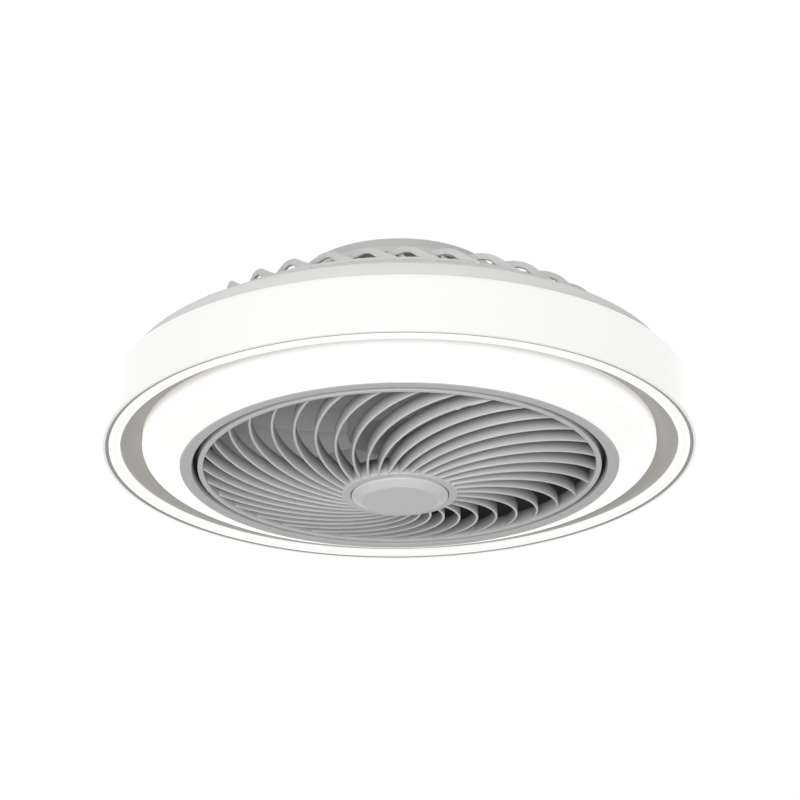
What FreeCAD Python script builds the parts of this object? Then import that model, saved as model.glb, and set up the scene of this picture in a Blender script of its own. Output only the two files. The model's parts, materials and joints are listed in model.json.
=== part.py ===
import FreeCAD, Part
import math
import os
from FreeCAD import Vector

# Flush mount ceiling fan with a ring light. Millimetres, +Z up, origin at the centre of the
# ceiling plane, so that everything hangs at negative Z.

# Fits and clearances
fit_gap = 0.1
slide_gap = 0.3
shaft_gap = 0.03
screw_gap = 0.1
ledge_gap = 0.6
cap_gap = 0.6

# Ceiling bracket and canopy
canopy_radius = 88.0
canopy_wall = 1.6
canopy_floor = 2.0
canopy_depth = 15.5
canopy_corner = 2.0
bracket_thickness = 2.0
bracket_width = 34.0
bracket_tab = 4.0
bracket_tab_drop = 11.0
bracket_hole_spacing = 70.0
bracket_hole_radius = 2.6
wire_hole_radius = 11.0
canopy_screw_drop = 6.5
grommet_bore = 5.0
grommet_wall = 2.0
grommet_lip = 2.5
terminal_length = 26.0
terminal_width = 14.0
terminal_height = 9.0
terminal_offset = 40.0
terminal_ways = 3
terminal_hole_radius = 2.2
terminal_hole_depth = 4.5

# Intake cage
neck_radius = 104.0
neck_height = 5.1
neck_wall = 2.5
cage_plate = 2.5
cage_plate_hole = 34.0
cage_ring_width = 8.5
cage_ring_height = 3.0
cage_drop = 75.3
rib_count = 36
rib_thickness = 2.6
rib_depth = 2.2
rib_root_lap = 2.6
rib_dip_radius = 118.0
rib_dip_rise = 39.3
rib_dip_round = 15.0
rib_valley_radius = 173.0
rib_valley_rise = 12.6
rib_valley_round = 6.0
rib_crown_radius = 187.0
rib_crown_inset = 1.2
rib_crown_rise = 16.6
rib_crown_round = 5.0
rib_foot = 4.0
rib_turn_mid = 16.0
rib_turn_end = 42.0
rib_phase = 0.0

# Chassis pan and lamp tray
pan_radius = 232.5
pan_sheet = 1.5
pan_cone_radius = 195.5
pan_wall_height = 20.0
pan_corner = 2.0
tray_sheet = 1.7

# Outer shade, lip and trim
rim_drop = 163.0
shade_radius = 250.0
shade_wall = 2.3
shade_height = 49.0
shade_flange_width = 14.0
shade_corner = 4.0
trim_width = 6.0
trim_thickness = 2.4
trim_rise = 1.5
lip_width = 10.6
lip_bulge = 2.4
lip_thickness = 3.2
lip_ledge = 1.8
edge_round = 0.5

# Groove ring and inner shade
groove_width = 13.5
groove_rise = 7.3
groove_sheet = 1.5
inner_shade_wall = 2.2
inner_shade_slope = 20.9
inner_shade_corner = 10.0
inner_shade_collar = 14.0

# Bezel, duct and seal
bezel_inner_radius = 175.4
bezel_width = 9.7
bezel_drop = 13.4
bezel_flank = 2.8
bezel_thickness = 2.3
bezel_wall = 1.8
post_radius = 3.2
seal_height = 6.0
duct_wall = 2.0
duct_flare_height = 14.0
duct_flare_round = 6.0

# Grille
grille_gap = 5.2
grille_ring_width = 4.6
grille_ring_height = 12.0
grille_ring_recess = 0.2
fin_count = 34
fin_thickness = 2.2
fin_phase = -6.3
fin_turn_mid = 25.6
fin_turn_end = 52.7
fin_sag = 0.5
fin_recess = 1.2
fin_depth_ring = 10.5
fin_depth_hub = 14.0
hub_radius = 48.5
hub_drop = 34.5
hub_wall = 2.5
hub_height = 15.0
hub_plate = 2.5
cap_radius = 40.6
cap_face_radius = 32.0
cap_bevel = 4.2
cap_edge = 1.3
cap_stem_radius = 9.0
cap_stem_length = 8.0
cap_stem_wall = 2.0
cap_round = 1.0
cap_barb = 1.2
lug_count = 4
lug_span = 9.0
lug_height = 2.5
lug_reach = 1.9
ledge_span = 13.0
ledge_height = 2.2

# Motor
motor_housing_radius = 52.0
motor_housing_wall = 2.0
motor_housing_depth = 81.0
motor_flange_width = 18.0
motor_corner = 4.0
spindle_radius = 13.0
spindle_flange_radius = 24.0
spindle_flange = 3.0
spindle_length = 37.0
bearing_radius = 11.0
bearing_bore = 4.0
bearing_width = 7.0
bearing_shoulder = 2.0
bearing_race = 1.75
bearing_shield_step = 0.6
stator_radius = 34.0
stator_yoke = 6.0
stator_height = 16.0
stator_teeth = 12
tooth_width = 5.0
tooth_bury = 1.0
tooth_shoe = 3.0
tooth_shoe_span = 24.0
coil_build = 1.7
coil_overhang = 2.5
coil_round = 1.0
board_thickness = 1.5
air_gap = 1.0
magnet_count = 14
magnet_thickness = 3.4
magnet_span = 24.0
magnet_height = 18.0
rotor_wall = 2.6
rotor_floor = 3.0
rotor_height = 34.0
rotor_floor_gap = 3.0
shaft_tip = 1.5
clip_thickness = 0.8
clip_width = 2.4
clip_opening = 4.5

# Impeller
blade_count = 9
blade_tip_radius = 169.0
blade_thickness = 2.4
blade_root_chord = 36.0
blade_mid_chord = 64.0
blade_tip_chord = 86.0
blade_root_pitch = 40.0
blade_mid_pitch = 29.0
blade_tip_pitch = 21.0
blade_camber = 0.09
blade_mid_sweep = 5.6
blade_tip_sweep = 14.0
blade_root_inset = 11.0
blade_overreach = 2.0
impeller_wall = 2.6
impeller_floor = 3.0
impeller_height = 37.0
impeller_corner = 2.0
nut_sides = 6
nut_radius = 7.0
nut_height = 5.0

# Light boards and supplies
led_board_width = 14.0
led_board_inner_width = 20.0
led_board_thickness = 1.6
led_size = 3.0
led_height = 0.8
board_post_gap = 3.0
led_count_outer = 60
led_count_inner = 48
supply_length = 92.0
supply_width = 34.0
supply_height = 16.0
supply_ear = 9.0
supply_foot_width = 12.6
supply_corner = 3.0

# Screws: shank radius, head radius, head height
screw_shank = 1.5
screw_head = 2.8
screw_head_height = 2.0
screw_grip = 5.0
cage_screw_grip = 4.0
screw_lug_width = 8.4
screw_count = 6
hub_screw_count = 4
spindle_screw_count = 3
rotor_screw_count = 4

# Turns of the fastener circles, kept apart from each other
pan_screw_turn = 0.0
groove_screw_turn = 30.0
post_turn = 15.0
duct_screw_turn = 45.0
cage_screw_turn = 6.0
hub_screw_turn = 45.0
spindle_screw_turn = 30.0
rotor_screw_turn = 0.0
lug_turn = 45.0

# Levels, from the ceiling down
canopy_base = -canopy_depth
plate_base = canopy_base - cage_plate
neck_base = canopy_base - neck_height
housing_base = plate_base - motor_housing_depth
spindle_flange_base = housing_base - spindle_flange
spindle_base = housing_base - spindle_length
ring_base = -cage_drop
ring_top = ring_base + cage_ring_height
rim_z = -rim_drop
shade_top = rim_z + shade_height
tray_top = shade_top - shade_wall
tray_base = tray_top - tray_sheet
bezel_face = rim_z - bezel_drop
bezel_back = bezel_face + bezel_thickness
grille_face = bezel_face + grille_ring_recess
grille_top = grille_face + grille_ring_height
bezel_top = grille_top - lug_height
seal_top = bezel_top + seal_height
hub_face = rim_z - hub_drop
hub_top = hub_face + hub_height

# Radii tied to each other
canopy_inner = canopy_radius - canopy_wall
cage_ring_inner = pan_cone_radius - cage_ring_width
trim_outer = shade_radius - shade_wall - fit_gap
trim_inner = trim_outer - trim_width
lip_outer = trim_inner - fit_gap
lip_inner = lip_outer - lip_width
groove_inner = lip_inner - groove_width
groove_outer_wall = groove_inner + groove_sheet
inner_shade_radius = groove_inner - slide_gap
bezel_radius = bezel_inner_radius + bezel_width
bezel_wall_radius = bezel_inner_radius + bezel_wall
bezel_throat = bezel_inner_radius - bezel_flank
duct_inner = bezel_inner_radius + fit_gap
duct_radius = duct_inner + duct_wall
tray_inner = duct_radius + slide_gap
post_circle = duct_radius + slide_gap + post_radius
grille_radius = bezel_inner_radius - grille_gap
grille_ring_inner = grille_radius - grille_ring_width
rotor_inner = stator_radius + air_gap + magnet_thickness + fit_gap
rotor_radius = rotor_inner + rotor_wall
impeller_inner = rotor_radius + slide_gap
impeller_radius = impeller_inner + impeller_wall
shaft_radius = bearing_bore - shaft_gap

full_turn = 360.0
half_turn = full_turn / 2
quarter_turn = full_turn / 4
both_ends = [0, half_turn]
axis = Vector(0, 0, 1)
centre = Vector(0, 0, 0)


def polar(radius, degrees, z=0.0):
    angle = math.radians(degrees)
    return Vector(radius * math.cos(angle), radius * math.sin(angle), z)


def spread(count, first=0.0):
    return [first + full_turn * index / count for index in range(count)]


def outline(corners):
    """Closed wire in the XZ plane through corners (radius, z, corner rounding)."""
    points = [Vector(r, 0, z) for r, z, rounding in corners]
    starts = []
    ends = []
    arcs = []
    for index, (r, z, rounding) in enumerate(corners):
        here = points[index]
        back = (points[index - 1] - here).normalize()
        ahead = (points[(index + 1) % len(points)] - here).normalize()
        if rounding:
            half = back.getAngle(ahead) / 2
            run = rounding / math.tan(half)
            middle = (back + ahead).normalize() * (rounding / math.sin(half) - rounding)
            starts.append(here + back * run)
            ends.append(here + ahead * run)
            arcs.append(Part.Arc(starts[-1], here + middle, ends[-1]).toShape())
        else:
            starts.append(here)
            ends.append(here)
            arcs.append(None)
    edges = []
    for index, arc in enumerate(arcs):
        if arc:
            edges.append(arc)
        edges.append(Part.makeLine(ends[index], starts[(index + 1) % len(points)]))
    return Part.Wire(edges)


def turned(corners):
    """Solid of revolution about Z; a corner without rounding may leave it out."""
    full = [corner if len(corner) == 3 else (*corner, 0) for corner in corners]
    return Part.Face(outline(full)).revolve(centre, axis, full_turn)


def ring(inner, outer, low, high):
    solid = Part.makeCylinder(outer, high - low, Vector(0, 0, low))
    if inner > 0:
        solid = solid.cut(Part.makeCylinder(inner, high - low, Vector(0, 0, low)))
    return solid


def sector(inner, outer, low, high, first, span):
    """Part of a ring from the angle first, over span degrees."""
    solid = Part.makeCylinder(outer, high - low, Vector(0, 0, low), axis, span)
    solid = solid.cut(Part.makeCylinder(inner, high - low, Vector(0, 0, low)))
    return solid.rotate(centre, axis, first)


def around(shape, angles):
    return [shape.copy().rotate(centre, axis, angle) for angle in angles]


def drilled(shape, points, radius, low, high):
    cutters = [Part.makeCylinder(radius, high - low, Vector(p.x, p.y, low)) for p in points]
    return shape.cut(Part.makeCompound(cutters))


def circle_points(radius, angles):
    return [polar(radius, angle) for angle in angles]


def upright_screw(point, seat, grip, head_up=True):
    """Pan head screw along Z whose head rests on the level seat."""
    head = Part.makeCylinder(screw_head, screw_head_height)
    head = head.makeFillet(screw_head_height / 2, [head.Edges[0]])
    solid = head.fuse(Part.makeCylinder(screw_shank, grip, Vector(0, 0, -grip)))
    if not head_up:
        solid.rotate(centre, Vector(1, 0, 0), half_turn)
    return solid.translate(Vector(point.x, point.y, seat)).removeSplitter()


def screw_group(points, seat, grip, head_up=True):
    return Part.makeCompound([upright_screw(point, seat, grip, head_up) for point in points])


# Angles and radii of the fastener circles
pan_angles = spread(screw_count, pan_screw_turn)
groove_angles = spread(screw_count, groove_screw_turn)
post_angles = spread(screw_count, post_turn)
duct_angles = spread(screw_count, duct_screw_turn)
cage_angles = spread(screw_count, cage_screw_turn)
hub_angles = spread(hub_screw_count, hub_screw_turn)
spindle_angles = spread(spindle_screw_count, spindle_screw_turn)
rotor_screw_angles = spread(rotor_screw_count, rotor_screw_turn)
lug_angles = spread(lug_count, lug_turn)

hole_radius = screw_shank + screw_gap
groove_circle = groove_outer_wall + screw_head + 2 * slide_gap
groove_lug_radius = groove_circle + screw_head + slide_gap
pan_circle = groove_circle
pan_foot_inner = pan_circle - screw_head
duct_circle = duct_radius + screw_head + slide_gap + duct_wall
cage_circle = pan_cone_radius - cage_ring_width / 2
hub_circle = motor_housing_radius + motor_flange_width / 2
spindle_circle = spindle_radius + (spindle_flange_radius - spindle_radius) / 2
rotor_screw_circle = rotor_radius / 2


# Ceiling bracket: a pressed steel strip with turned-down ends for the canopy screws
def ceiling_bracket():
    reach = canopy_inner - fit_gap
    strip = Part.makeBox(2 * reach, bracket_width, bracket_thickness)
    strip.translate(Vector(-reach, -bracket_width / 2, -bracket_thickness))
    tab = Part.makeBox(bracket_tab, bracket_width, bracket_tab_drop)
    tab.translate(Vector(reach - bracket_tab, -bracket_width / 2, -bracket_tab_drop))
    body = strip.fuse(around(tab, both_ends))
    body = body.common(Part.makeCylinder(reach, bracket_tab_drop, Vector(0, 0, -bracket_tab_drop)))
    half = bracket_hole_spacing / 2
    body = drilled(body, [Vector(-half, 0), Vector(half, 0)], bracket_hole_radius, -bracket_thickness, 0)
    body = drilled(body, [centre], wire_hole_radius, -bracket_thickness, 0)
    return body.cut(canopy_cross_hole(hole_radius))


def canopy_cross_hole(radius):
    start = Vector(-canopy_radius, 0, -canopy_screw_drop)
    return Part.makeCylinder(radius, 2 * canopy_radius, start, Vector(1, 0, 0))


# Canopy: a shallow pressed cup against the ceiling
def canopy():
    bore = grommet_bore + grommet_wall + fit_gap
    floor_top = canopy_base + canopy_floor
    cup = turned([
        (bore, canopy_base), (canopy_radius, canopy_base, canopy_corner), (canopy_radius, 0),
        (canopy_inner, 0), (canopy_inner, floor_top), (bore, floor_top)])
    cup = drilled(cup, circle_points(hub_circle, hub_angles), hole_radius, canopy_base, floor_top)
    return cup.cut(canopy_cross_hole(hole_radius))


def canopy_screws():
    screw = upright_screw(centre, 0, canopy_wall + fit_gap + bracket_tab)
    screw.rotate(centre, Vector(0, 1, 0), quarter_turn)
    screw.translate(Vector(canopy_radius, 0, -canopy_screw_drop))
    return Part.makeCompound(around(screw, both_ends))


# Rubber grommet in the canopy floor, for the supply wires
def wire_grommet():
    barrel = grommet_bore + grommet_wall
    flange = barrel + grommet_lip
    floor_top = canopy_base + canopy_floor
    return turned([
        (grommet_bore, canopy_base), (barrel, canopy_base), (barrel, floor_top), (flange, floor_top),
        (flange, floor_top + grommet_wall, edge_round), (grommet_bore, floor_top + grommet_wall)])


# Three pole terminal block on the canopy floor
def terminal_block():
    floor_top = canopy_base + canopy_floor
    block = Part.makeBox(terminal_length, terminal_width, terminal_height)
    block.translate(Vector(-terminal_length / 2, terminal_offset, floor_top))
    pitch = terminal_length / terminal_ways
    first = (pitch - terminal_length) / 2
    middle = terminal_offset + terminal_width / 2
    row = [Vector(first + step * pitch, middle, 0) for step in range(terminal_ways)]
    top = floor_top + terminal_height
    return drilled(block, row, terminal_hole_radius, top - terminal_hole_depth, top)


def hub_screws():
    return screw_group(circle_points(hub_circle, hub_angles), canopy_base + canopy_floor,
                       canopy_floor + cage_plate + motor_housing_wall)


# Curved strip, seen from above: an arc through three polar points, of even thickness
def swept_strip(radii, turns, thickness, low, high):
    start, middle, end = [polar(r, turn) for r, turn in zip(radii, turns)]
    circle = Part.Arc(start, middle, end).toShape().Curve
    hub = circle.Center
    outward = [(point - hub).normalize() * (thickness / 2) for point in (start, middle, end)]
    far = [point + offset for point, offset in zip((start, middle, end), outward)]
    near = [point - offset for point, offset in zip((start, middle, end), outward)]
    edges = [Part.Arc(*far).toShape(), Part.makeLine(far[2], near[2]),
             Part.Arc(near[2], near[1], near[0]).toShape(), Part.makeLine(near[0], far[0])]
    strip = Part.Face(Part.Wire(edges)).extrude(Vector(0, 0, high - low))
    return strip.translate(Vector(0, 0, low))


# Intake cage: neck ring, foot ring and curved ribs that dip between them and arch up before the foot
def rib_band():
    foot = pan_cone_radius - fit_gap
    crown_z = ring_base + rib_crown_rise
    crest = [
        (neck_radius - neck_wall, neck_base + rib_root_lap, 0),
        (rib_dip_radius, ring_base + rib_dip_rise, rib_dip_round),
        (rib_valley_radius, ring_base + rib_valley_rise, rib_valley_round)]
    under = [(radius, z - rib_depth, rounding) for radius, z, rounding in reversed(crest)]
    arch = [
        (rib_crown_radius, crown_z, rib_crown_round), (foot, ring_top), (foot, ring_base),
        (foot - rib_foot, ring_base),
        (rib_crown_radius - rib_crown_inset, crown_z - rib_depth, edge_round)]
    return turned(crest + arch + under)


def intake_cage():
    neck_inner = neck_radius - neck_wall
    top = turned([
        (cage_plate_hole, plate_base), (neck_inner, plate_base), (neck_inner, neck_base),
        (neck_radius, neck_base), (neck_radius, canopy_base, edge_round), (cage_plate_hole, canopy_base)])
    foot = ring(cage_ring_inner, pan_cone_radius, ring_base, ring_top)
    radii = [neck_inner, (neck_radius + pan_cone_radius) / 2, pan_cone_radius + rib_thickness]
    turns = [rib_phase, rib_phase + rib_turn_mid, rib_phase + rib_turn_end]
    strip = swept_strip(radii, turns, rib_thickness, ring_base, canopy_base)
    rib = strip.common(rib_band())
    cage = top.fuse([foot] + around(rib, spread(rib_count))).removeSplitter()
    cage = drilled(cage, circle_points(hub_circle, hub_angles), hole_radius, plate_base, canopy_base)
    return drilled(cage, circle_points(cage_circle, cage_angles), hole_radius, ring_base, ring_top)


def cage_screws():
    return screw_group(circle_points(cage_circle, cage_angles), ring_base - pan_sheet, cage_screw_grip,
                       head_up=False)


# Chassis pan: spun sheet with an inner seat, a cone, a wall and an inner foot flange
def chassis_pan():
    wall_top = tray_top + pan_wall_height
    inner = cage_ring_inner
    seat = ring_base
    pan_inner = pan_radius - pan_sheet
    pan = turned([
        (inner, seat), (pan_cone_radius, seat, pan_corner), (pan_radius, wall_top, pan_corner),
        (pan_radius, tray_top), (pan_foot_inner, tray_top), (pan_foot_inner, tray_top + pan_sheet),
        (pan_inner, tray_top + pan_sheet), (pan_inner, wall_top - pan_sheet),
        (pan_cone_radius - pan_sheet, seat - pan_sheet), (inner, seat - pan_sheet)])
    foot_holes = circle_points(pan_circle, pan_angles + groove_angles)
    pan = drilled(pan, foot_holes, hole_radius, tray_top, tray_top + pan_sheet)
    return drilled(pan, circle_points(cage_circle, cage_angles), hole_radius, seat - pan_sheet, seat)


def pan_screws():
    grip = tray_sheet + pan_sheet + screw_grip
    return screw_group(circle_points(pan_circle, pan_angles), tray_base, grip, head_up=False)


# Lamp tray: flat ring that carries the shades, the light boards and the supplies
def lamp_tray():
    outer = shade_radius - shade_wall - slide_gap
    tray = ring(tray_inner, outer, tray_base, tray_top)
    holes = circle_points(pan_circle, pan_angles) + circle_points(groove_circle, groove_angles)
    holes += circle_points(post_circle, post_angles) + circle_points(duct_circle, duct_angles)
    holes += [ear for side in both_ends for ear in supply_ears(side)]
    return drilled(tray, holes, hole_radius, tray_base, tray_top)


# Outer shade: opal acrylic band with a turned-in top that hangs on the tray
def outer_shade():
    inner = shade_radius - shade_wall
    flange = shade_radius - shade_flange_width
    return turned([
        (inner, rim_z), (shade_radius, rim_z, edge_round), (shade_radius, shade_top, shade_corner),
        (flange, shade_top), (flange, tray_top), (inner, tray_top)])


def lip_ring():
    ledge_low = rim_z + trim_thickness
    top = ledge_low + lip_ledge
    edge = top - lip_thickness
    middle = Vector((lip_inner + lip_outer) / 2, 0, edge - lip_bulge)
    bottom = Part.Arc(Vector(lip_inner, 0, edge), middle, Vector(lip_outer, 0, edge)).toShape()
    path = [(lip_outer, edge), (lip_outer, ledge_low), (trim_outer, ledge_low), (trim_outer, top),
            (lip_inner, top), (lip_inner, edge)]
    sides = Part.makePolygon([Vector(r, 0, z) for r, z in path])
    return Part.Face(Part.Wire([bottom] + sides.Edges)).revolve(centre, axis, full_turn)


def trim_ring():
    back = rim_z + trim_thickness
    return turned([(trim_inner, rim_z + trim_rise), (trim_outer, rim_z), (trim_outer, back),
                   (trim_inner, back)])


# Groove ring: the shaded channel between the two shades, with a wall up to the tray
def groove_ring():
    low = rim_z + trim_thickness + lip_ledge
    slope = groove_rise / groove_width
    knee = low + groove_rise
    flange = (lip_inner + lip_outer) / 2
    slant = groove_sheet * math.hypot(1, slope)
    wall_knee = knee - groove_sheet * slope + slant
    body = turned([
        (flange, low), (lip_inner, low), (groove_inner, knee), (groove_inner, tray_base),
        (groove_outer_wall, tray_base), (groove_outer_wall, wall_knee),
        (groove_outer_wall + (wall_knee - low - groove_sheet) / slope, low + groove_sheet),
        (flange, low + groove_sheet)])
    span = math.degrees(screw_lug_width / groove_circle)
    lug = sector(groove_outer_wall - groove_sheet / 2, groove_lug_radius,
                 tray_base - groove_sheet, tray_base, -span / 2, span)
    body = body.fuse(around(lug, groove_angles)).removeSplitter()
    return drilled(body, circle_points(groove_circle, groove_angles), hole_radius,
                   tray_base - groove_sheet, tray_base)


def groove_screws():
    return screw_group(circle_points(groove_circle, groove_angles), tray_base - groove_sheet,
                       groove_sheet + tray_sheet + screw_grip / 2, head_up=False)


# Inner shade: opal dish with a collar in the groove ring and a flange on the bezel
def inner_shade():
    wall = inner_shade_wall
    outer = inner_shade_radius
    edge = bezel_radius + slide_gap
    slope = math.tan(math.radians(inner_shade_slope))
    slant = wall / math.cos(math.radians(inner_shade_slope))
    corner = bezel_face + (outer - edge) * slope
    back = corner - wall * slope + slant
    flange_low = bezel_back + fit_gap
    flange_high = flange_low + wall
    flange_inner = tray_inner
    meet = edge + (flange_high - bezel_face - slant) / slope
    shade = turned([
        (edge, bezel_face), (outer, corner, inner_shade_corner),
        (outer, corner + inner_shade_collar), (outer - wall, corner + inner_shade_collar),
        (outer - wall, back, inner_shade_corner - wall), (meet, flange_high), (flange_inner, flange_high),
        (flange_inner, flange_low), (edge, flange_low)])
    return drilled(shade, circle_points(post_circle, post_angles), post_radius + slide_gap,
                   flange_low, flange_high)


# Bezel: flat collar round the air outlet, with posts to the tray and ledges for the grille
def bezel_ring():
    body = turned([
        (bezel_inner_radius, bezel_face, edge_round), (bezel_radius, bezel_face, edge_round),
        (bezel_radius, bezel_back), (bezel_wall_radius, bezel_back), (bezel_wall_radius, bezel_top),
        (bezel_throat, bezel_top)])
    posts = [Part.makeCylinder(post_radius, tray_base - bezel_back, Vector(p.x, p.y, bezel_back))
             for p in circle_points(post_circle, post_angles)]
    ledge = sector(grille_radius + ledge_gap, bezel_inner_radius + bezel_wall / 2,
                   bezel_top - ledge_height, bezel_top, -ledge_span / 2, ledge_span)
    body = body.fuse(posts + around(ledge, lug_angles)).removeSplitter()
    return drilled(body, circle_points(post_circle, post_angles), hole_radius,
                   tray_base - screw_grip * 2, tray_base)


def bezel_screws():
    return screw_group(circle_points(post_circle, post_angles), tray_top, tray_sheet + screw_grip)


# Foam seal between the bezel and the duct
def duct_seal():
    return ring(duct_inner, duct_radius, bezel_top, seal_top)


# Duct: cylinder round the impeller with a flared mouth and lugs on the tray
def duct_shroud():
    mouth = ring_base - pan_sheet
    flare_low = mouth - duct_flare_height
    mouth_radius = cage_circle - screw_head - slide_gap
    duct = turned([
        (duct_inner, seal_top), (duct_radius, seal_top), (duct_radius, flare_low, duct_flare_round),
        (mouth_radius, mouth), (mouth_radius - duct_wall, mouth),
        (duct_inner, flare_low, duct_flare_round + duct_wall)])
    span = math.degrees(screw_lug_width / duct_circle)
    lug = sector(duct_radius - duct_wall / 2, duct_circle + screw_head + slide_gap, tray_top,
                 tray_top + duct_wall, -span / 2, span)
    duct = duct.fuse(around(lug, duct_angles)).removeSplitter()
    return drilled(duct, circle_points(duct_circle, duct_angles), hole_radius, tray_top,
                   tray_top + duct_wall)


def duct_screws():
    return screw_group(circle_points(duct_circle, duct_angles), tray_top + duct_wall,
                       duct_wall + tray_sheet + screw_grip / 2)


# Grille: outer ring with bayonet lugs, hub cup and curved upright fins on a shallow bowl
def fin_band():
    root = hub_radius - hub_wall / 2
    end = grille_ring_inner + grille_ring_width / 2
    low_root = hub_face
    low_end = grille_face + fin_recess
    middle = (root + end) / 2

    def bowl(z_root, z_end):
        sag = Vector(middle, 0, (z_root + z_end) / 2 - fin_sag)
        return Part.Arc(Vector(root, 0, z_root), sag, Vector(end, 0, z_end)).toShape()

    high_root = low_root + fin_depth_hub
    high_end = low_end + fin_depth_ring
    edges = [
        bowl(low_root, low_end),
        Part.makeLine(Vector(end, 0, low_end), Vector(end, 0, high_end)),
        bowl(high_root, high_end),
        Part.makeLine(Vector(root, 0, high_root), Vector(root, 0, low_root))]
    return Part.Face(Part.Wire(edges)).revolve(centre, axis, full_turn)


def grille():
    outer = turned([
        (grille_ring_inner, grille_face, edge_round), (grille_radius, grille_face, edge_round),
        (grille_radius, grille_top), (grille_ring_inner, grille_top)])
    seat = cap_radius + cap_gap
    seat_z = hub_face + cap_edge
    plate_top = hub_face + cap_edge + hub_plate
    stem_hole = cap_stem_radius + slide_gap
    hub = turned([
        (stem_hole, seat_z), (seat, seat_z), (seat, hub_face), (hub_radius, hub_face, edge_round),
        (hub_radius, hub_top), (hub_radius - hub_wall, hub_top), (hub_radius - hub_wall, plate_top),
        (stem_hole, plate_top)])
    radii = [hub_radius - hub_wall, (hub_radius + grille_ring_inner) / 2, grille_radius]
    turns = [fin_phase, fin_phase + fin_turn_mid, fin_phase + fin_turn_end]
    strip = swept_strip(radii, turns, fin_thickness, hub_face, grille_top)
    fin = strip.common(fin_band())
    lug = sector(grille_radius - grille_ring_width / 2, grille_radius + lug_reach, grille_top - lug_height,
                 grille_top, -lug_span / 2, lug_span)
    pieces = [hub] + around(fin, spread(fin_count)) + around(lug, lug_angles)
    return outer.fuse(pieces).removeSplitter()


# Cap that clips into the middle of the grille hub
def grille_cap():
    back = hub_face + cap_edge
    face = back - cap_edge * 2 - cap_bevel
    plate_top = hub_face + cap_edge + hub_plate
    stem_top = back + cap_stem_length
    bore = cap_stem_radius - cap_stem_wall
    barb_low = plate_top + slide_gap
    return turned([
        (0, face), (cap_face_radius, face, cap_round), (cap_radius, face + cap_bevel, edge_round),
        (cap_radius, back), (cap_stem_radius, back), (cap_stem_radius, barb_low),
        (cap_stem_radius + cap_barb, barb_low), (cap_stem_radius, stem_top), (bore, stem_top),
        (bore, back), (0, back)])


# Motor housing: deep drawn cup under the cage plate
def motor_housing():
    outer = motor_housing_radius
    inner = outer - motor_housing_wall
    flange = outer + motor_flange_width
    flange_low = plate_base - motor_housing_wall
    floor_top = housing_base + motor_housing_wall
    cup = turned([
        (bearing_bore, housing_base), (outer, housing_base, motor_corner), (outer, flange_low),
        (flange, flange_low), (flange, plate_base), (inner, plate_base),
        (inner, floor_top, motor_corner - motor_housing_wall), (bearing_bore, floor_top)])
    cup = drilled(cup, circle_points(hub_circle, hub_angles), hole_radius, flange_low, plate_base)
    return drilled(cup, circle_points(spindle_circle, spindle_angles), hole_radius, housing_base, floor_top)


# Stator spindle: flanged tube with a bearing seat at each end
def stator_spindle():
    seat = bearing_radius + fit_gap / 2
    shoulder = bearing_radius - bearing_shoulder
    upper_low = spindle_flange_base - bearing_width
    lower_high = spindle_base + bearing_width
    post = turned([
        (seat, housing_base), (spindle_flange_radius, housing_base),
        (spindle_flange_radius, spindle_flange_base), (spindle_radius, spindle_flange_base),
        (spindle_radius, spindle_base), (seat, spindle_base), (seat, lower_high), (shoulder, lower_high),
        (shoulder, upper_low), (seat, upper_low)])
    return drilled(post, circle_points(spindle_circle, spindle_angles), hole_radius,
                   spindle_flange_base, housing_base)


def spindle_screws():
    return screw_group(circle_points(spindle_circle, spindle_angles), housing_base + motor_housing_wall,
                       motor_housing_wall + spindle_flange)


# Ball bearing: two races with a sunk shield on each side
def bearing(low):
    high = low + bearing_width
    shield_low = low + bearing_shield_step
    shield_high = high - bearing_shield_step
    inner_race = bearing_bore + bearing_race
    outer_race = bearing_radius - bearing_race
    return turned([
        (bearing_bore, low), (inner_race, low), (inner_race, shield_low), (outer_race, shield_low),
        (outer_race, low), (bearing_radius, low), (bearing_radius, high), (outer_race, high),
        (outer_race, shield_high), (inner_race, shield_high), (inner_race, high), (bearing_bore, high)])


# Stator: laminated core with shoed teeth, a coil on each tooth and a board above
stator_middle = (spindle_flange_base + spindle_base) / 2 - coil_overhang
stator_low = stator_middle - stator_height / 2
stator_high = stator_middle + stator_height / 2
yoke_radius = spindle_radius + fit_gap + stator_yoke
shoe_inner = stator_radius - tooth_shoe


def stator_core():
    core = ring(spindle_radius + fit_gap / 2, yoke_radius, stator_low, stator_high)
    tooth = Part.makeBox(shoe_inner - yoke_radius + 2 * tooth_bury, tooth_width, stator_height)
    tooth.translate(Vector(yoke_radius - tooth_bury, -tooth_width / 2, stator_low))
    shoe = sector(shoe_inner, stator_radius, stator_low, stator_high, -tooth_shoe_span / 2, tooth_shoe_span)
    angles = spread(stator_teeth)
    return core.fuse(around(tooth, angles) + around(shoe, angles)).removeSplitter()


def stator_windings():
    inner_width = tooth_width + 2 * fit_gap
    inner_height = stator_height + 2 * fit_gap
    outer_width = inner_width + 2 * coil_build
    outer_height = stator_height + 2 * coil_overhang
    start = yoke_radius + fit_gap + coil_build
    length = math.sqrt(shoe_inner ** 2 - (outer_width / 2) ** 2) - fit_gap - start
    coil = Part.makeBox(length, outer_width, outer_height)
    coil.translate(Vector(start, -outer_width / 2, stator_middle - outer_height / 2))
    along_tooth = [edge for edge in coil.Edges if edge.BoundBox.XLength > length / 2]
    coil = coil.makeFillet(coil_round, along_tooth)
    hole = Part.makeBox(length, inner_width, inner_height)
    hole.translate(Vector(start, -inner_width / 2, stator_middle - inner_height / 2))
    return Part.makeCompound(around(coil.cut(hole), spread(stator_teeth)))


def stator_board():
    low = stator_high + coil_overhang
    return ring(spindle_radius + slide_gap, shoe_inner, low, low + board_thickness)


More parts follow.
